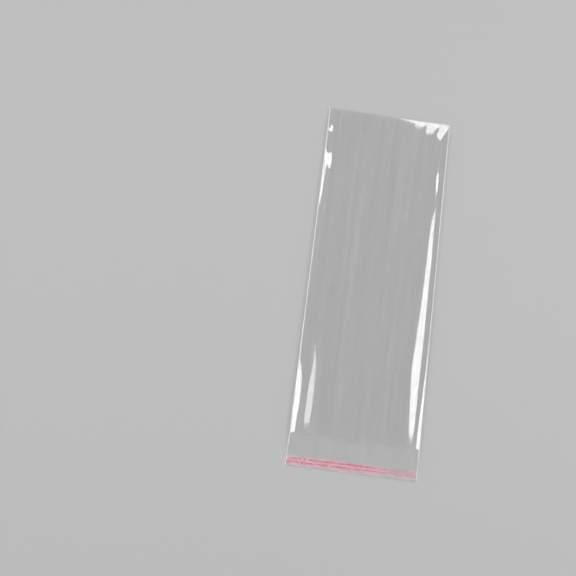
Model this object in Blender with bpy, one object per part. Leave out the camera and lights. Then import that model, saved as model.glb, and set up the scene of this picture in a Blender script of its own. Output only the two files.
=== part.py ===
"""Self-seal film bag lying on its back, gaping a little at the mouth.

One web of clear film is folded at the closed end and fused down both sides, so that the back wall
runs on past the mouth as a lip. The lip carries a band of adhesive under a release liner.
Metres, +Z up. The bag lies along Y with its closed end at +Y, and the origin is on the surface it
lies on, under the middle of its length.
"""

import math

import bmesh
import bpy

# Bag, in the sizes it is sold by
BAG_WIDTH = 0.120
POCKET_LENGTH = 0.320
LIP_LENGTH = 0.030
FILM = 0.00005  # one wall

# Side welds, where a hot knife cuts the two walls and fuses them into a round bead
BEAD_RADIUS = 0.0002
BEAD_OVERRUN = 0.0001  # the bead stands this far past the fold and past the lip's end
BEAD_RESOLUTION = 1  # of the bead's round section
FUSED_RIM = 0.0003  # the walls are one along the welds and the fold, this far in

# How far each wall stands off the plane of the welds
GAPE_AT_MOUTH = 0.0036
GAPE_AT_FOLD = 0.0026
FOLD_HEIGHT = 0.0013  # of the fold, above the surface the bag lies on
SIDE_SHOULDER = 0.018  # a wall has levelled out this far in from a weld
END_SHOULDER = 0.030  # and this far in from the fold
SLACK_SHOULDER = 0.056  # in place of SIDE_SHOULDER, where the left side lies slack
SLACK_BEGINS = 0.010  # from the mouth
SLACK_FULL = 0.157

# Gathers that run in from the fold, beside each corner
GATHERS = 3
FIRST_GATHER = 0.0072  # from the weld, along the fold
GATHER_PITCH = 0.0125
GATHER_LENGTH = 0.024
GATHER_WIDTH = 0.0018
GATHER_HEIGHT = 0.00045
GATHER_SLANT = math.radians(20)  # away from the weld
GATHER_START = 0.015  # a gather comes up over this far from the fold
GATHER_EDGE = 0.004  # and over this far from the weld

# Adhesive on the lip, and the liner over it
LINER_WIDTH = 0.010
LINER_THICKNESS = 0.00005
LINER_MARGIN = 0.0008  # bare film between the liner and the lip's end
ADHESIVE_WIDTH = 0.005
ADHESIVE_THICKNESS = 0.00003
ADHESIVE_MARGIN = 0.0005  # liner left free beyond the adhesive, towards the lip's end
LAYER_GAP = 0.00002  # between film, adhesive and liner
TAPE_END_GAP = 0.0003  # between a tape's ends and the beads
FLAT_BEFORE_LINER = 0.002  # the lip has come down flat this far before the liner

# Mesh
COLUMNS = 54
POCKET_ROWS = 18
LIP_ROWS = 6
TAPE_ROWS = LIP_ROWS // 3
SIDE_CROWDING = 0.7  # 0 spaces the columns evenly, 1 crowds them most towards the welds
FOLD_CROWDING = 0.9  # the same for the rows towards the fold
MERGE_DISTANCE = 1e-6

FOLD_Y = (POCKET_LENGTH + LIP_LENGTH) / 2
MOUTH_Y = FOLD_Y - POCKET_LENGTH
LIP_END_Y = MOUTH_Y - LIP_LENGTH
LINER_Y = LIP_END_Y + LINER_MARGIN + LINER_WIDTH
ADHESIVE_Y = LIP_END_Y + LINER_MARGIN + ADHESIVE_MARGIN + ADHESIVE_WIDTH

FILM_COLOUR = (0.93, 0.95, 0.96, 0.25)
ADHESIVE_COLOUR = (0.90, 0.88, 0.84, 0.6)
LINER_COLOUR = (0.86, 0.42, 0.52, 0.7)


def clamp(share):
    return max(0.0, min(1.0, share))


def smooth(share):
    share = clamp(share)
    return share * share * (3 - 2 * share)


def levelled(distance, shoulder):
    """0 at an edge of the bag, rising on a parabola to 1 where the wall has levelled out."""
    return 1 - (1 - clamp(distance / shoulder)) ** 2


def lesser(a, b):
    """The lesser of two shares, blended round where they are alike."""
    return (a**-4 + b**-4 - 1) ** -0.25 if a > 0 and b > 0 else 0.0


def gape(y):
    """Distance from the plane of the welds to each wall, growing from the fold to the mouth."""
    return GAPE_AT_FOLD + (GAPE_AT_MOUTH - GAPE_AT_FOLD) * clamp((FOLD_Y - y) / POCKET_LENGTH)


def on_lip(y):
    return y < MOUTH_Y - MERGE_DISTANCE


def weld_height(y):
    """Height of the side welds, which come down to the surface along the lip."""
    if not on_lip(y):
        return FOLD_HEIGHT + (gape(y) - FOLD_HEIGHT) * levelled(FOLD_Y - y, END_SHOULDER)
    descent = MOUTH_Y - LINER_Y - FLAT_BEFORE_LINER
    return BEAD_RADIUS + (gape(y) - BEAD_RADIUS) * (1 - smooth((MOUTH_Y - y) / descent))


def weld_x(y):
    """Half the width between the welds, less what the bowed walls draw in.

    A parabola that rises h over a shoulder s is 2/3 h^2 / s longer than the flat.
    """
    return BAG_WIDTH / 2 - BEAD_RADIUS - 2 / 3 * weld_height(y) ** 2 / SIDE_SHOULDER


def shoulder(x, y):
    """Width of a wall's rise beside a weld. The left side lies slack, except near the mouth."""
    if x > 0:
        return SIDE_SHOULDER
    slack = smooth((y - MOUTH_Y - SLACK_BEGINS) / (SLACK_FULL - SLACK_BEGINS))
    return SIDE_SHOULDER + (SLACK_SHOULDER - SIDE_SHOULDER) * slack


def openness(x, y):
    """0 along the welds and the fold, 1 where the walls have levelled out."""
    from_weld = levelled(weld_x(y) - abs(x), shoulder(x, y))
    if on_lip(y):
        return from_weld
    return lesser(from_weld, levelled(FOLD_Y - y, END_SHOULDER))


def gathers(x, y):
    """Rise of the front wall where it gathers at the corners of the fold."""
    down = FOLD_Y - y
    inward = weld_x(y) - abs(x)
    start = smooth(down / GATHER_START) * smooth(inward / GATHER_EDGE)
    rise = 0.0
    for number in range(GATHERS):
        share = 1 - number / GATHERS
        offset = inward - FIRST_GATHER - number * GATHER_PITCH
        across = offset * math.cos(GATHER_SLANT) - down * math.sin(GATHER_SLANT)
        ridge = math.exp(-((across / GATHER_WIDTH) ** 2))
        rise += GATHER_HEIGHT * share * ridge * (1 - smooth(down / (GATHER_LENGTH * share)))
    return rise * start


def front_outside(x, y):
    return weld_height(y) + gape(y) * openness(x, y) + gathers(x, y)


def back_outside(x, y):
    return weld_height(y) * (1 - openness(x, y))


def film_inside(x, y, z):
    """The point on the film's inside that goes with a point on its outside.

    Along the fused rim the two walls share one inside edge, half way between them.
    """
    edge = weld_x(y) - FUSED_RIM
    rim = abs(x) > edge or y > FOLD_Y - FUSED_RIM
    x = max(-edge, min(edge, x))
    y = min(y, FOLD_Y - FUSED_RIM)
    if on_lip(y):
        return x, y, z + FILM
    middle = (front_outside(x, y) + back_outside(x, y)) / 2
    if rim:
        return x, y, middle
    return x, y, z - math.copysign(FILM, z - middle)


def crowded(share):
    """-1 to 1 across the bag, with the steps shortened towards both welds."""
    return (1 - SIDE_CROWDING) * share + SIDE_CROWDING * math.sin(math.pi / 2 * share)


def pocket_y(share):
    """share runs from 0 at the fold to 1 at the mouth."""
    return FOLD_Y - POCKET_LENGTH * ((1 - FOLD_CROWDING) * share + FOLD_CROWDING * share**2)


def lip_y(share):
    """share runs from 0 at the mouth to 1 at the lip's end."""
    return MOUTH_Y - LIP_LENGTH * share


def add_surface(bm, rows, row_y, height, inset=0.0):
    """A grid laid across the bag and raised to a height, its quads split out from the corners."""
    made = bmesh.ops.create_grid(bm, x_segments=COLUMNS, y_segments=rows, size=1.0)
    faces = {face for vertex in made["verts"] for face in vertex.link_faces}
    right = [face for face in faces if face.calc_center_median().x > 0]
    left = [face for face in faces if face.calc_center_median().x <= 0]
    for vertex in made["verts"]:
        y = row_y((1 - vertex.co.y) / 2)
        x = (weld_x(y) - inset) * crowded(vertex.co.x)
        vertex.co = (x, y, height(x, y))
    bmesh.ops.triangulate(bm, faces=right, quad_method="FIXED")
    bmesh.ops.triangulate(bm, faces=left, quad_method="ALTERNATE")


def thicken(bm, inside):
    """Closes an open sheet with a double of it, whose points the given function places."""
    made = bmesh.ops.extrude_face_region(bm, geom=bm.faces[:], use_keep_orig=True)
    for item in made["geom"]:
        if isinstance(item, bmesh.types.BMVert):
            item.co = inside(*item.co)
    bmesh.ops.recalc_face_normals(bm, faces=bm.faces)


def add_object(name, bm, collection, colour, roughness):
    mesh = bpy.data.meshes.new(name)
    bm.to_mesh(mesh)
    bm.free()
    mesh.shade_smooth()
    material = bpy.data.materials.new(name)
    material.use_nodes = True
    shader = material.node_tree.nodes["Principled BSDF"]
    shader.inputs["Base Color"].default_value = (*colour[:3], 1.0)
    shader.inputs["Alpha"].default_value = colour[3]
    shader.inputs["Roughness"].default_value = roughness
    mesh.materials.append(material)
    obj = bpy.data.objects.new(name, mesh)
    collection.objects.link(obj)
    return obj


def weld_bead(name, side, cutters):
    """The round bead down one side, as a closed mesh that the film is joined to."""
    rows = [FOLD_Y + BEAD_OVERRUN]
    rows += [pocket_y(row / POCKET_ROWS) for row in range(1, POCKET_ROWS + 1)]
    rows += [lip_y(row / LIP_ROWS) for row in range(1, LIP_ROWS)]
    rows += [LIP_END_Y - BEAD_OVERRUN]
    curve = bpy.data.curves.new(name, "CURVE")
    curve.dimensions = "3D"
    curve.bevel_depth = BEAD_RADIUS
    curve.bevel_resolution = BEAD_RESOLUTION
    curve.use_fill_caps = True
    path = curve.splines.new("POLY")
    path.points.add(len(rows) - 1)
    for point, y in zip(path.points, rows):
        point.co = (side * weld_x(y), y, weld_height(y), 1.0)
    tube = bpy.data.objects.new(name, curve)
    cutters.objects.link(tube)
    graph = bpy.context.evaluated_depsgraph_get()
    mesh = bpy.data.meshes.new_from_object(tube.evaluated_get(graph))
    bpy.data.objects.remove(tube)
    bm = bmesh.new()
    bm.from_mesh(mesh)
    bmesh.ops.remove_doubles(bm, verts=bm.verts, dist=MERGE_DISTANCE)
    bm.to_mesh(mesh)
    bm.free()
    bead = bpy.data.objects.new(name, mesh)
    bead.hide_render = True
    bead.display_type = "WIRE"
    cutters.objects.link(bead)
    return bead


def make_bag_film(parts, cutters):
    """Front wall, back wall and lip, which meet at the fold and the mouth, with both beads."""
    bm = bmesh.new()
    add_surface(bm, POCKET_ROWS, pocket_y, front_outside)
    add_surface(bm, POCKET_ROWS, pocket_y, back_outside)
    add_surface(bm, LIP_ROWS, lip_y, back_outside)
    bmesh.ops.remove_doubles(bm, verts=bm.verts, dist=MERGE_DISTANCE)
    thicken(bm, film_inside)
    film = add_object("bag_film", bm, parts, FILM_COLOUR, 0.05)
    for name, side in (("left_bead", -1), ("right_bead", 1)):
        weld = film.modifiers.new(name, "BOOLEAN")
        weld.operation = "UNION"
        weld.object = weld_bead(name, side, cutters)


def make_tape(name, start_y, width, lift, thickness, parts, colour, roughness):
    """A band across the lip from bead to bead, its underside this far above the lip's underside."""
    bm = bmesh.new()
    add_surface(
        bm,
        TAPE_ROWS,
        lambda share: start_y - width * share,
        lambda x, y: back_outside(x, y) + lift,
        inset=BEAD_RADIUS + TAPE_END_GAP,
    )
    thicken(bm, lambda x, y, z: (x, y, z + thickness))
    add_object(name, bm, parts, colour, roughness)


def main():
    for obj in list(bpy.data.objects):
        bpy.data.objects.remove(obj)
    parts = bpy.data.collections.new("self_seal_bag")
    cutters = bpy.data.collections.new("cutters")
    cutters.hide_render = True
    for collection in (parts, cutters):
        bpy.context.scene.collection.children.link(collection)
    make_bag_film(parts, cutters)
    adhesive_lift = FILM + LAYER_GAP
    make_tape("adhesive_band", ADHESIVE_Y, ADHESIVE_WIDTH, adhesive_lift, ADHESIVE_THICKNESS,
              parts, ADHESIVE_COLOUR, 0.4)
    liner_lift = adhesive_lift + ADHESIVE_THICKNESS + LAYER_GAP
    make_tape("release_liner", LINER_Y, LINER_WIDTH, liner_lift, LINER_THICKNESS,
              parts, LINER_COLOUR, 0.25)


main()
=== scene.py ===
"""Looks for the self-seal film bag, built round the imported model.

The film is one fine closed mesh on the solid's curves. It adds the dents and waves of thin film, and
its back wall rises more gently beside the welds. The fused beads, the adhesive and the printed liner
are pieces of their own. Metres, +Z up, closed end at +Y.
"""

import math

import bpy
import numpy as np
from mathutils import Matrix, Vector


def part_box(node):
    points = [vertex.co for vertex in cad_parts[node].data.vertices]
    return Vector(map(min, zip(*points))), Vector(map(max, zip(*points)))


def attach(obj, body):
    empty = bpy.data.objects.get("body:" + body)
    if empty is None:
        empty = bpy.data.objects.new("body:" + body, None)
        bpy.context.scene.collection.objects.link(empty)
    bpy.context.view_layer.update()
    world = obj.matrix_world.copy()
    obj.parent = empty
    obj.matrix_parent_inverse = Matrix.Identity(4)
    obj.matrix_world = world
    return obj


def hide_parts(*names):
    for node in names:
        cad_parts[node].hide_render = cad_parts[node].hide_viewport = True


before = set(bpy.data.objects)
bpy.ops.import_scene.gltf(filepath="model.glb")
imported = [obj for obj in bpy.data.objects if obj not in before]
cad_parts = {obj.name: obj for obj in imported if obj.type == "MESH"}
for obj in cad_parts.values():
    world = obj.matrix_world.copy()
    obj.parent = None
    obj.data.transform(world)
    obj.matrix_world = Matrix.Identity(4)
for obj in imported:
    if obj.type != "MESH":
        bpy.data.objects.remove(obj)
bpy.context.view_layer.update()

# Sizes of the solid, which the film follows
LIP_LENGTH = 0.030
FILM = 0.00005  # one wall
BEAD_RADIUS = 0.0002
BEAD_OVERRUN = 0.0001  # the bead stands this far past the fold and past the lip's end
FUSED_RIM = 0.0003  # the walls are one along the welds and the fold, this far in
GAPE_AT_MOUTH = 0.0036
GAPE_AT_FOLD = 0.0026
FOLD_HEIGHT = 0.0013
SIDE_SHOULDER = 0.018  # a wall has levelled out this far in from a weld
END_SHOULDER = 0.030  # and this far in from the fold
SLACK_SHOULDER = 0.056  # in place of SIDE_SHOULDER, where a wall lies slack
SLACK_BEGINS = 0.010  # from the mouth
SLACK_FULL = 0.157
BLEND_POWER = 4  # how sharply the two shoulders meet
GATHERS = 3  # at each corner of the fold
FIRST_GATHER = 0.0072  # from the weld
GATHER_PITCH = 0.0125
GATHER_LENGTH = 0.024
GATHER_WIDTH = 0.0018
GATHER_HEIGHT = 0.00045
GATHER_SLANT = math.radians(20)
GATHER_START = 0.015  # a gather comes up over this far from the fold
GATHER_EDGE = 0.004  # and over this far from the weld
FLAT_BEFORE_LINER = 0.002
LINER_THICKNESS = 0.00005
ADHESIVE_THICKNESS = 0.00003
LAYER_GAP = 0.00002
TAPE_END_GAP = 0.0003
ADHESIVE_LIFT = FILM + LAYER_GAP
LINER_LIFT = ADHESIVE_LIFT + ADHESIVE_THICKNESS + LAYER_GAP

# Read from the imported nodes
FILM_LOW, FILM_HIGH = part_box("bag_film")
LINER_LOW, LINER_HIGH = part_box("release_liner")
ADHESIVE_LOW, ADHESIVE_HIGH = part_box("adhesive_band")
HALF_WIDTH = FILM_HIGH.x
FOLD_Y = FILM_HIGH.y - BEAD_OVERRUN
LIP_END_Y = FILM_LOW.y + BEAD_OVERRUN
MOUTH_Y = LIP_END_Y + LIP_LENGTH
POCKET_LENGTH = FOLD_Y - MOUTH_Y

# Dents of the front wall: place across and along, spread across and along, height
DENTS = [
    (-0.0534, 0.1545, 0.0034, 0.0060, 0.00036),
    (-0.0512, 0.1185, 0.0050, 0.0110, 0.00055),
    (-0.0570, 0.1000, 0.0018, 0.0210, 0.00016),
    (0.0480, 0.0560, 0.0045, 0.0160, 0.00008),
    (0.0470, -0.0350, 0.0050, 0.0200, -0.00008),
]
DENT_START = 0.0012  # a dent comes up over this far from the welds and the fold

# Long shallow waves that run down the web. Each is drawn by its radians of phase in a metre
SEED = 8
WAVES = 9
WAVE_ACROSS = (120, 520)
WAVE_ALONG = (-22, 22)
WAVE_HEIGHT = 0.00006  # of all of them, at USUAL_WAVE across. A shorter wave is lower
USUAL_WAVE = 200
WAVE_START = 0.014  # the waves come up over this far from the welds and the fold

# Beads as they look, wider than the solid's
LEFT_BEAD = 0.00042
RIGHT_BEAD = 0.00032
BEAD_WEAR = 0.2  # share of the radius that is missing at most

# Mesh
COLUMNS = 108
POCKET_ROWS = 200
LIP_ROWS = 24
SIDE_CROWDING = 0.7  # from 0, for even columns
FOLD_CROWDING = 0.8  # from 0, for even rows
TAPE_ROWS = 10
BEAD_SIDES = 10
CREASE = math.radians(40)  # a sharper edge than this is shaded sharp
EDGE_TOLERANCE = 1e-6  # a point this close to the mouth is still on the pocket
LEAST_SHARE = 1e-5  # a share below this counts as none
MERGE_DECIMALS = 7  # points that agree to this many decimals are one
WALL_SHARE = 0.4  # the most that one wall takes of the space between the two

# Materials: noise by scale, stretch and detail, ranges as pairs from low to high
FACE_ON = 0.042  # what a smooth film face sends back straight on
EDGE_POWER = 5  # how steeply that grows towards a glancing look
FILM_CLEAR = (0.994, 0.994, 0.993, 1)
FILM_HAZE = (0.92, 0.915, 0.91, 1)
FILM_ROUGHNESS = 0.05
FILM_GRAIN = (900, (1, 0.12, 1), 3)
FILM_GRAIN_DEPTH = 0.000006
FILM_STREAKS = (130, (1, 0.025, 1), 4)
STREAK_RANGE = (0.38, 0.72)
HAZE_SHARE = (0.005, 0.05)

BEAD_CLEAR = (0.96, 0.96, 0.96, 1)
BEAD_WHITE = (0.95, 0.95, 0.95, 1)
BEAD_ROUGHNESS = 0.12
BEAD_GRAIN = (1500, (1, 0.5, 1), 2)
BEAD_GRAIN_DEPTH = 0.00003
BEAD_CLOUD = (400, (1, 0.3, 1), 2)
BEAD_WHITENESS = (0.82, 1)
BEAD_MIRROR = (0.08, 1)

ADHESIVE_CLEAR = (0.99, 0.985, 0.975, 1)
ADHESIVE_WHITE = (0.9, 0.88, 0.87, 1)
ADHESIVE_ROUGHNESS = 0.25
ADHESIVE_STREAKS = (500, (0.12, 1, 1), 4)
ADHESIVE_BLOBS = (1400, (1, 1, 1), 2)
BLOBS_IN_RELIEF = 0.5
BLOBS_IN_CLOUD = 0.4
ADHESIVE_DEPTH = 0.00002
ADHESIVE_CLOUD_RANGE = (0.5, 0.95)
ADHESIVE_WHITENESS = (0.10, 0.42)

LINER_CLEAR = (0.99, 0.985, 0.985, 1)
LINER_BARE = [(0.84, 0.78, 0.80, 1), (0.93, 0.90, 0.91, 1)]
PINK = [(0.80, 0.43, 0.50, 1), (0.86, 0.58, 0.64, 1)]
FADED_PINK = (0.82, 0.60, 0.65, 1)
MARK_COLOUR = (0.50, 0.03, 0.11, 1)
LINER_ROUGHNESS = 0.09
LINER_GRAIN = (700, (0.3, 1, 1), 3)
LINER_GRAIN_DEPTH = 0.00001
LINER_CLOUD = (220, (0.5, 1, 1), 4)
CLOUD_RANGE = (0.3, 0.7)
BARE_RANGE = (0.35, 0.7)
LINER_BODY = 0.24  # how solid the liner looks where nothing is printed
BAND_BODY = (0.25, 0.50)  # and how much the print adds, faded and full
BODY_UNEVEN = (0.75, 1.15)

# Print on the liner, as distances down from its upper edge at the middle of the bag
PRINT_TOP = 0.00095
PRINT_END = 0.00795
PRINT_BLUR = 0.0005
PRINT_SLANT = 0.011  # how much the print climbs towards the right end
FADE_FROM = 0.022  # across the bag, from where the print grows pale
FADE_TO = 0.046
FADE_UNEVEN = 0.012
MARK_ROWS = [0.00275, 0.00595]
MARK_HALF = 0.0006
MARK_PITCH = 0.0023
MARK_LENGTH = (0.3, 0.7)  # of the pitch
MARKS_MISSING = 0.1  # share of them
MARK_STRENGTH = (0.28, 0.90)  # faded and full
ROW_STEP = 31.7  # sets the draws of one row of marks apart from the next

# Camera, fitted to the four corners of the bag in the photograph
IMAGE_SIDE = 576
FOCAL_PIXELS = 1000
SENSOR = 36  # mm
TARGET = Vector((-0.07797, -0.01174, 0.0))
CAMERA_DISTANCE = 0.9385
CAMERA_AZIMUTH = math.radians(-11.32)
CAMERA_TILT = math.radians(14.2)
CAMERA_ROLL = math.radians(19.09)

# Floor
FLOOR_HALF = 4.0
FLOOR_Z = -0.0001  # just clear of the bag's underside
FLOOR_COLOUR = (0.5, 0.5, 0.505, 1)
FLOOR_ROUGHNESS = 0.8

# Lamps: strength and outline. The film mirrors them, and those images are its highlights
LAMP_HEIGHT = 1.2
FLAT_LAMPS = {
    "right_lamp": (9, [
        (0.86, 0.60), (0.92, 0.60), (0.97, 0.54), (0.97, 0.055), (0.86, 0.031), (0.67, 0.033),
        (0.485, 0.16), (0.64, 0.31), (0.75, 0.56),
    ]),
    "right_tip_lamp": (12, [(0.72, 0.66), (0.76, 0.64), (0.86, 0.64), (0.86, 0.69), (0.79, 0.69)]),
    "right_edge_lamp": (10, [
        (1.33, 0.0), (1.33, 0.09), (1.51, 0.25), (1.51, 0.33), (1.9, 0.33), (1.9, 0.0),
    ]),
    "left_edge_lamp": (10, [
        (-0.77, -0.03), (-0.745, 0.035), (-0.49, 0.162), (-1.3, 0.162), (-1.3, -0.03),
    ]),
    "left_soft_lamp": (6, [
        (-0.055, 0.015), (-0.07, 0.06), (-0.24, 0.22), (-0.34, 0.14), (-0.33, 0.015),
    ]),
    "left_top_lamp": (10, [
        (-0.27, 0.45), (-0.27, 0.73), (-0.345, 0.76), (-0.345, 0.88), (-0.46, 0.88), (-0.46, 0.45),
    ]),
    "end_lamp": (8, [
        (0.28, 1.90), (0.30, 1.45), (0.31, 1.18), (0.45, 1.03), (0.57, 0.925), (0.68, 0.93),
        (1.27, 1.25), (1.27, 1.9),
    ]),
    "left_fill_lamp": (1.8, [(-1.7, -0.8), (-1.7, 1.0), (-2.9, 1.0), (-2.9, -0.8)]),
}
FAR_LAMPS = {
    "far_end_lamp": (4, [(0.5, 2.6, 0.15), (2.3, 2.6, 0.15), (2.3, 2.6, 1.8), (0.5, 2.6, 1.8)]),
    "far_side_lamp": (2, [(1.3, -2.9, 0.45), (2.9, -1.3, 0.45), (2.9, -1.3, 0.8), (1.3, -2.9, 0.8)]),
}
# These light the floor and the bag too, and the others only shine in the film
LIGHTING_LAMPS = ("right_lamp", "left_edge_lamp", "left_soft_lamp")

# World: strength as light, and as it is seen and mirrored at the horizon and overhead
WORLD_COLOUR = (1, 1, 1, 1)
WORLD_LIGHT = 0.76
WORLD_SEEN = (0.46, 0.36)

TRANSPARENT_BOUNCES = 32  # a look along the bag crosses many faces of film


def clamp(share):
    return np.clip(share, 0.0, 1.0)


def smooth(share):
    share = clamp(share)
    return share * share * (3 - 2 * share)


def levelled(distance, width):
    """0 at an edge of the bag, rising on a parabola to 1 where the wall has levelled out."""
    return 1 - (1 - clamp(distance / width)) ** 2


def lesser(a, b):
    """The lesser of two shares, blended round where they are alike."""
    low = np.minimum(a, b) <= LEAST_SHARE
    a = np.maximum(a, LEAST_SHARE)
    b = np.maximum(b, LEAST_SHARE)
    return np.where(low, 0.0, (a**-BLEND_POWER + b**-BLEND_POWER - 1) ** (-1 / BLEND_POWER))


def gape(y):
    """How far a levelled wall lies above or below the welds, growing from the fold to the mouth."""
    return GAPE_AT_FOLD + (GAPE_AT_MOUTH - GAPE_AT_FOLD) * clamp((FOLD_Y - y) / POCKET_LENGTH)


def on_lip(y):
    return y < MOUTH_Y - EDGE_TOLERANCE


def weld_height(y):
    """Height of the side welds, which come down to the floor along the lip."""
    pocket = FOLD_HEIGHT + (gape(y) - FOLD_HEIGHT) * levelled(FOLD_Y - y, END_SHOULDER)
    descent = MOUTH_Y - LINER_HIGH.y - FLAT_BEFORE_LINER
    lip = BEAD_RADIUS + (gape(y) - BEAD_RADIUS) * (1 - smooth((MOUTH_Y - y) / descent))
    return np.where(on_lip(y), lip, pocket)


def weld_x(y):
    """Half the width between the welds, less what the bowed walls draw in."""
    return HALF_WIDTH - BEAD_RADIUS - 2 / 3 * weld_height(y) ** 2 / SIDE_SHOULDER


def shoulder(x, y):
    """Width of the front wall's rise beside a weld. The left side lies slack, except near the mouth."""
    slack = smooth((y - MOUTH_Y - SLACK_BEGINS) / (SLACK_FULL - SLACK_BEGINS))
    return np.where(x < 0, SIDE_SHOULDER + (SLACK_SHOULDER - SIDE_SHOULDER) * slack, SIDE_SHOULDER)


def openness(x, y, width):
    """0 along the welds and the fold, 1 where a wall has levelled out."""
    from_weld = levelled(weld_x(y) - abs(x), width)
    return np.where(on_lip(y), from_weld, lesser(from_weld, levelled(FOLD_Y - y, END_SHOULDER)))


def gathers(x, y):
    """Rise of the front wall where it gathers at the corners of the fold."""
    down = FOLD_Y - y
    inward = weld_x(y) - abs(x)
    start = smooth(down / GATHER_START) * smooth(inward / GATHER_EDGE)
    rise = np.zeros_like(x)
    for number in range(GATHERS):
        share = 1 - number / GATHERS
        offset = inward - FIRST_GATHER - number * GATHER_PITCH
        across = offset * math.cos(GATHER_SLANT) - down * math.sin(GATHER_SLANT)
        ridge = np.exp(-((across / GATHER_WIDTH) ** 2))
        rise += GATHER_HEIGHT * share * ridge * (1 - smooth(down / (GATHER_LENGTH * share)))
    return rise * start


def dents(x, y):
    rise = np.zeros_like(x)
    for place_x, place_y, width, length, height in DENTS:
        rise += height * np.exp(-(((x - place_x) / width) ** 2) - ((y - place_y) / length) ** 2)
    return rise


def waves(x, y):
    draw = np.random.default_rng(SEED)
    rise = np.zeros_like(x)
    for _ in range(WAVES):
        across = draw.uniform(*WAVE_ACROSS)
        along = draw.uniform(*WAVE_ALONG)
        phase = draw.uniform(0, 2 * math.pi)
        height = WAVE_HEIGHT * USUAL_WAVE / across / math.sqrt(WAVES)
        rise += height * np.sin(across * x + along * y + phase)
    return rise


def front_relief(x, y):
    """Waves and dents of the front wall, none of them at its welds or at the fold."""
    down = FOLD_Y - y
    inward = weld_x(y) - abs(x)
    dented = smooth(down / DENT_START) * smooth(inward / DENT_START) * dents(x, y)
    return dented + smooth(down / WAVE_START) * smooth(inward / WAVE_START) * waves(x, y)


def front_outside(x, y):
    risen = gape(y) * openness(x, y, shoulder(x, y))
    return weld_height(y) + risen + gathers(x, y) + front_relief(x, y)


def back_outside(x, y):
    """The back wall and the lip, whose rise beside the welds is so gentle that it mirrors no lamp."""
    return weld_height(y) * (1 - openness(x, y, SLACK_SHOULDER))


def film_inside(points):
    """The points on the film's inside that lie under points on its outside.

    Along the fused rim the two walls share one inside edge, half way between them.
    """
    x, y, z = points.T
    edge = weld_x(y) - FUSED_RIM
    rim = (abs(x) > edge) | (y > FOLD_Y - FUSED_RIM)
    x = np.clip(x, -edge, edge)
    y = np.minimum(y, FOLD_Y - FUSED_RIM)
    front = front_outside(x, y)
    back = back_outside(x, y)
    middle = (front + back) / 2
    wall = np.minimum(FILM, WALL_SHARE * (front - back))
    pocket = np.where(rim, middle, z - np.copysign(wall, z - middle))
    return np.stack([x, y, np.where(on_lip(y), z + FILM, pocket)], axis=1)


def columns():
    """Places across the bag from -1 to 1, crowded towards both welds."""
    share = np.linspace(-1, 1, COLUMNS + 1)
    return (1 - SIDE_CROWDING) * share + SIDE_CROWDING * np.sin(math.pi / 2 * share)


def pocket_rows():
    """Places along the pocket from the fold to the mouth, crowded towards the fold."""
    share = np.linspace(0, 1, POCKET_ROWS + 1)
    return FOLD_Y - POCKET_LENGTH * ((1 - FOLD_CROWDING) * share + FOLD_CROWDING * share**2)


def web_rows():
    """Places along the whole back wall, from the fold over the mouth to the lip's end."""
    lip = np.linspace(MOUTH_Y, LIP_END_Y, LIP_ROWS + 1)
    return np.concatenate([pocket_rows(), lip[1:]])


def surface(rows, height, inset=0.0):
    """Points of a grid that spans the bag at the given rows, raised to a height."""
    y = np.repeat(rows, COLUMNS + 1)
    x = np.tile(columns(), len(rows)) * (weld_x(y) - inset)
    return np.stack([x, y, height(x, y)], axis=1)


def grid_faces(rows, first=0):
    """Faces of a grid with that many rows, whose points are numbered from first."""
    row, column = np.mgrid[0 : rows - 1, 0:COLUMNS]
    corner = (first + row * (COLUMNS + 1) + column).ravel()
    return np.stack([corner, corner + COLUMNS + 1, corner + COLUMNS + 2, corner + 1], axis=1)


def merged(points, faces):
    """The same sheet, with points that lie on one another made one."""
    rounded = np.round(points, MERGE_DECIMALS)
    _, first, same = np.unique(rounded, axis=0, return_index=True, return_inverse=True)
    return points[first], same.reshape(-1)[faces]


def closed_sheet(points, faces, inside):
    """The outside sheet, its double turned the other way, and a wall along every open edge."""
    edges = np.concatenate([faces[:, [corner, (corner + 1) % 4]] for corner in range(4)])
    _, place, count = np.unique(np.sort(edges, axis=1), axis=0, return_index=True, return_counts=True)
    rim = edges[place[count == 1]]
    shift = len(points)
    walls = np.stack([rim[:, 1], rim[:, 0], rim[:, 0] + shift, rim[:, 1] + shift], axis=1)
    every_point = np.concatenate([points, inside(points)])
    every_face = np.concatenate([faces, faces[:, ::-1] + shift, walls])
    return every_point, every_face


def add_piece(name, points, faces, material):
    mesh = bpy.data.meshes.new(name)
    mesh.from_pydata(points.tolist(), [], [list(face) for face in faces])
    mesh.validate()
    mesh.shade_smooth()
    mesh.set_sharp_from_angle(angle=CREASE)
    mesh.materials.append(material)
    obj = bpy.data.objects.new(name, mesh)
    bpy.context.scene.collection.objects.link(obj)
    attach(obj, "root")
    return obj


def make_film(material):
    """Front wall, back wall and lip, joined along both welds and the fold."""
    front_rows = pocket_rows()
    back_rows = web_rows()
    front = surface(front_rows, front_outside)
    back = surface(back_rows, back_outside)
    at_weld = np.isin(np.arange(len(back)) % (COLUMNS + 1), (0, COLUMNS))
    back[at_weld, 2] = weld_height(back[at_weld, 1])
    front_faces = grid_faces(len(front_rows))
    back_faces = grid_faces(len(back_rows), len(front))[:, ::-1]
    points, faces = merged(np.concatenate([front, back]), np.concatenate([front_faces, back_faces]))
    points, faces = closed_sheet(points, faces, film_inside)
    film = add_piece("clear_bag_film", points, faces, material)
    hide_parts("bag_film")


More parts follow.
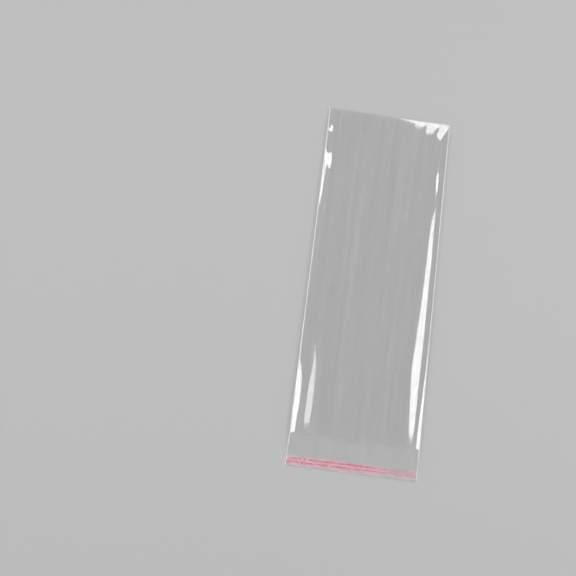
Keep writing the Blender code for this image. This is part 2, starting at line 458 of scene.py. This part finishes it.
def make_bead(name, side, size, material):
    """The fused edge: a thin round bead, a little uneven where the hot knife left it."""
    draw = np.random.default_rng(SEED + side)
    rows = web_rows()
    rows[0] += BEAD_OVERRUN
    rows[-1] -= BEAD_OVERRUN
    radius = size * (1 - BEAD_WEAR * draw.random(len(rows)))
    radius[[0, -1]] = BEAD_RADIUS / 2
    turn = np.linspace(0, 2 * math.pi, BEAD_SIDES, endpoint=False)
    x = side * weld_x(rows)[:, None] + radius[:, None] * np.cos(turn)
    y = np.repeat(rows[:, None], BEAD_SIDES, axis=1)
    z = weld_height(rows)[:, None] + radius[:, None] * np.sin(turn)
    points = np.stack([x, y, np.maximum(z, 0)], axis=2).reshape(-1, 3)
    row, place = np.mgrid[0 : len(rows) - 1, 0:BEAD_SIDES]
    this = (row * BEAD_SIDES + place).ravel()
    beside = (row * BEAD_SIDES + (place + 1) % BEAD_SIDES).ravel()
    faces = np.stack([this, beside, beside + BEAD_SIDES, this + BEAD_SIDES], axis=1).tolist()
    last = len(points) - BEAD_SIDES
    faces.append(list(range(BEAD_SIDES - 1, -1, -1)))
    faces.append(list(range(last, last + BEAD_SIDES)))
    add_piece(name, points, faces, material)


def make_tape(name, node, high, low, lift, thickness, material):
    """A band across the lip from bead to bead, as far along the bag as its node's box reaches."""
    rows = np.linspace(high.y, low.y, TAPE_ROWS + 1)
    points = surface(rows, lambda x, y: back_outside(x, y) + lift, BEAD_RADIUS + TAPE_END_GAP)
    faces = grid_faces(len(rows))[:, ::-1]
    points, faces = closed_sheet(points, faces, lambda under: under + np.array([0, 0, thickness]))
    tape = add_piece(name, points, faces, material)
    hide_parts(node)


class Nodes:
    """A node tree, with short calls for the nodes used here."""

    def __init__(self, tree):
        self.tree = tree

    def node(self, kind, **inputs):
        made = self.tree.nodes.new("ShaderNode" + kind)
        for name, value in inputs.items():
            self.feed(made.inputs[name.replace("_", " ")], value)
        return made

    def feed(self, socket, value):
        if isinstance(value, bpy.types.NodeSocket):
            self.tree.links.new(value, socket)
        else:
            socket.default_value = value

    def math(self, operation, *values):
        made = self.node("Math")
        made.operation = operation
        for socket, value in zip(made.inputs, values):
            self.feed(socket, value)
        return made.outputs[0]

    def between(self, share, ends):
        """The first of a pair where share is 0, the second where it is 1."""
        return self.math("MULTIPLY_ADD", share, ends[1] - ends[0], ends[0])


class Look(Nodes):
    """A material and its nodes."""

    def __init__(self, name):
        self.material = bpy.data.materials.new(name)
        self.material.use_nodes = True
        super().__init__(self.material.node_tree)
        self.tree.nodes.clear()

    def done(self, shader):
        self.node("OutputMaterial", Surface=shader)
        return self.material

    def place(self):
        return self.node("TexCoord").outputs["Object"]

    def noise(self, scale, stretch, detail):
        mapped = self.node("Mapping", Vector=self.place(), Scale=stretch).outputs[0]
        return self.node("TexNoise", Vector=mapped, Scale=scale, Detail=detail).outputs["Fac"]

    def ramp(self, value, span, ends):
        """Goes from the first to the second of ends as a value crosses a span, and stays there."""
        made = self.node("MapRange", Value=value, From_Min=span[0], From_Max=span[1], To_Min=ends[0],
                         To_Max=ends[1])
        return made.outputs[0]

    def colours(self, share, first, second):
        made = self.node("Mix")
        made.data_type = "RGBA"
        self.feed(made.inputs["Factor"], share)
        self.feed(made.inputs[6], first)
        self.feed(made.inputs[7], second)
        return made.outputs[2]

    def mix(self, share, first, second):
        made = self.node("MixShader")
        for socket, value in zip(made.inputs, (share, first, second)):
            self.feed(socket, value)
        return made.outputs[0]

    def mirror(self):
        """The share of light that a smooth film face sends back."""
        facing = self.node("LayerWeight", Blend=0.5).outputs["Facing"]
        return self.between(self.math("POWER", facing, EDGE_POWER), (FACE_ON, 1))

    def clear(self, colour):
        return self.node("BsdfTransparent", Color=colour).outputs[0]

    def matt(self, colour):
        return self.node("BsdfDiffuse", Color=colour).outputs[0]

    def gloss(self, roughness, height, depth):
        """A mirror broken up by fine relief, which this height and depth give."""
        normal = self.node("Bump", Height=height, Strength=1.0, Distance=depth).outputs[0]
        return self.node("BsdfGlossy", Roughness=roughness, Normal=normal).outputs[0]


def film_material():
    """Clear, with faint streaks of haze down the web."""
    look = Look("clear_film")
    gloss = look.gloss(FILM_ROUGHNESS, look.noise(*FILM_GRAIN), FILM_GRAIN_DEPTH)
    clean = look.mix(look.mirror(), look.clear(FILM_CLEAR), gloss)
    streaks = look.ramp(look.noise(*FILM_STREAKS), STREAK_RANGE, HAZE_SHARE)
    return look.done(look.mix(streaks, clean, look.matt(FILM_HAZE)))


def bead_material():
    """Film that melted white and set, clouded unevenly."""
    look = Look("fused_bead")
    gloss = look.gloss(BEAD_ROUGHNESS, look.noise(*BEAD_GRAIN), BEAD_GRAIN_DEPTH)
    cloud = look.ramp(look.noise(*BEAD_CLOUD), CLOUD_RANGE, BEAD_WHITENESS)
    body = look.mix(cloud, look.clear(BEAD_CLEAR), look.matt(BEAD_WHITE))
    return look.done(look.mix(look.between(look.mirror(), BEAD_MIRROR), body, gloss))


def adhesive_material():
    """Clear, clouded by streaks along the band and by small blobs."""
    look = Look("clear_adhesive")
    streaks = look.noise(*ADHESIVE_STREAKS)
    blobs = look.noise(*ADHESIVE_BLOBS)
    relief = look.math("MULTIPLY_ADD", blobs, BLOBS_IN_RELIEF, streaks)
    cloud = look.math("MULTIPLY_ADD", blobs, BLOBS_IN_CLOUD, streaks)
    cloud = look.ramp(cloud, ADHESIVE_CLOUD_RANGE, ADHESIVE_WHITENESS)
    body = look.mix(cloud, look.clear(ADHESIVE_CLEAR), look.matt(ADHESIVE_WHITE))
    gloss = look.gloss(ADHESIVE_ROUGHNESS, relief, ADHESIVE_DEPTH)
    return look.done(look.mix(look.mirror(), body, gloss))


def mark_row(look, across, down, number, row_y):
    """1 on one row of short plain marks, uneven in length and some of them missing."""
    run = look.math("DIVIDE", across, MARK_PITCH)
    cell = look.math("FLOOR", run)
    within = look.math("SUBTRACT", run, cell)
    drawn = look.node("TexWhiteNoise")
    drawn.noise_dimensions = "1D"
    look.feed(drawn.inputs["W"], look.math("ADD", cell, ROW_STEP * (number + 1)))
    draw = drawn.outputs["Value"]
    mark = look.math("LESS_THAN", within, look.between(draw, MARK_LENGTH))
    kept = look.math("GREATER_THAN", draw, MARKS_MISSING)
    near = look.math("LESS_THAN", look.math("ABSOLUTE", look.math("SUBTRACT", down, row_y)), MARK_HALF)
    return look.math("MULTIPLY", look.math("MULTIPLY", mark, kept), near)


def liner_material():
    """Clear, with rows of plain marks on a pink band that pales towards the right end."""
    look = Look("printed_liner")
    place = look.node("SeparateXYZ", Vector=look.place()).outputs
    cloud = look.noise(*LINER_CLOUD)
    down = look.math("SUBTRACT", LINER_HIGH.y, place["Y"])
    down = look.math("MULTIPLY_ADD", place["X"], PRINT_SLANT, down)
    uneven = look.math("MULTIPLY_ADD", cloud, PRINT_BLUR, down)
    begun = look.ramp(uneven, (PRINT_TOP, PRINT_TOP + PRINT_BLUR), (0, 1))
    ended = look.ramp(uneven, (PRINT_END, PRINT_END + PRINT_BLUR), (1, 0))
    printed = look.math("MULTIPLY", begun, ended)
    fading = look.math("MULTIPLY_ADD", cloud, FADE_UNEVEN, place["X"])
    ink = look.ramp(fading, (FADE_FROM, FADE_TO), (1, 0))
    marks = 0.0
    for number, row_y in enumerate(MARK_ROWS):
        marks = look.math("MAXIMUM", marks, mark_row(look, place["X"], down, number, row_y))
    marks = look.math("MULTIPLY", marks, look.between(ink, MARK_STRENGTH))

    bare = look.colours(look.ramp(cloud, BARE_RANGE, (0, 1)), *LINER_BARE)
    pink = look.colours(look.ramp(cloud, CLOUD_RANGE, (0, 1)), *PINK)
    band = look.colours(printed, bare, look.colours(ink, FADED_PINK, pink))
    colour = look.colours(marks, band, MARK_COLOUR)

    body = look.math("MULTIPLY", printed, look.between(ink, BAND_BODY))
    body = look.math("ADD", body, LINER_BODY)
    body = look.math("MULTIPLY", body, look.ramp(cloud, CLOUD_RANGE, BODY_UNEVEN))
    body = look.math("MAXIMUM", body, marks)
    gloss = look.gloss(LINER_ROUGHNESS, look.noise(*LINER_GRAIN), LINER_GRAIN_DEPTH)
    sheet = look.mix(body, look.clear(LINER_CLEAR), look.matt(colour))
    return look.done(look.mix(look.mirror(), sheet, gloss))


def add_panel(name, corners, material):
    """One flat face of the studio, which isn't part of the bag."""
    mesh = bpy.data.meshes.new(name)
    mesh.from_pydata(corners, [], [tuple(range(len(corners)))])
    mesh.materials.append(material)
    panel = bpy.data.objects.new(name, mesh)
    bpy.context.scene.collection.objects.link(panel)
    return panel


def make_floor():
    material = bpy.data.materials.new("floor")
    material.use_nodes = True
    shader = material.node_tree.nodes["Principled BSDF"]
    shader.inputs["Base Color"].default_value = FLOOR_COLOUR
    shader.inputs["Roughness"].default_value = FLOOR_ROUGHNESS
    shader.inputs["Specular IOR Level"].default_value = 0.0
    signs = [(-1, -1), (1, -1), (1, 1), (-1, 1)]
    corners = [(FLOOR_HALF * x, FLOOR_HALF * y, FLOOR_Z) for x, y in signs]
    floor = add_panel("floor", corners, material)


def make_lamp(name, strength, corners):
    look = Look(name)
    glow = look.node("Emission", Strength=strength).outputs[0]
    lamp = add_panel(name, corners, look.done(glow))
    lamp.visible_camera = False
    lamp.visible_diffuse = name in LIGHTING_LAMPS


def make_lamps():
    for name, (strength, corners) in FLAT_LAMPS.items():
        make_lamp(name, strength, [(x, y, LAMP_HEIGHT) for x, y in corners])
    for name, (strength, corners) in FAR_LAMPS.items():
        make_lamp(name, strength, corners)


def make_world():
    """Even light, and a dimmer sky for what looks at it directly or mirrors it."""
    world = bpy.data.worlds.new("studio")
    bpy.context.scene.world = world
    world.use_nodes = True
    sky = Nodes(world.node_tree)
    direction = sky.node("SeparateXYZ", Vector=sky.node("TexCoord").outputs["Generated"])
    seen = sky.between(sky.math("MAXIMUM", direction.outputs["Z"], 0.0), WORLD_SEEN)
    ray = sky.node("LightPath").outputs
    looks = sky.math("MAXIMUM", ray["Is Camera Ray"], ray["Is Glossy Ray"])
    looks = sky.math("MAXIMUM", looks, ray["Is Transmission Ray"])
    strength = sky.math("MULTIPLY_ADD", looks, sky.math("SUBTRACT", seen, WORLD_LIGHT), WORLD_LIGHT)
    back = sky.tree.nodes["Background"]
    sky.feed(back.inputs["Color"], WORLD_COLOUR)
    sky.feed(back.inputs["Strength"], strength)


def make_camera():
    data = bpy.data.cameras.new("camera")
    data.sensor_fit = "HORIZONTAL"
    data.sensor_width = SENSOR
    data.lens = SENSOR * FOCAL_PIXELS / IMAGE_SIDE
    camera = bpy.data.objects.new("camera", data)
    bpy.context.scene.collection.objects.link(camera)
    turn = (
        Matrix.Rotation(CAMERA_AZIMUTH, 4, "Z")
        @ Matrix.Rotation(CAMERA_TILT, 4, "X")
        @ Matrix.Rotation(CAMERA_ROLL, 4, "Z")
    )
    camera.matrix_world = Matrix.Translation(TARGET) @ turn @ Matrix.Translation((0, 0, CAMERA_DISTANCE))
    bpy.context.scene.camera = camera


make_camera()
make_world()
make_floor()
make_lamps()
make_film(film_material())
bead_look = bead_material()
make_bead("left_weld_bead", -1, LEFT_BEAD, bead_look)
make_bead("right_weld_bead", 1, RIGHT_BEAD, bead_look)
make_tape("cloudy_adhesive", "adhesive_band", ADHESIVE_HIGH, ADHESIVE_LOW, ADHESIVE_LIFT,
          ADHESIVE_THICKNESS, adhesive_material())
make_tape("liner_strip", "release_liner", LINER_HIGH, LINER_LOW, LINER_LIFT,
          LINER_THICKNESS, liner_material())

bpy.context.scene.cycles.transparent_max_bounces = TRANSPARENT_BOUNCES
bpy.context.scene.view_settings.view_transform = "Standard"
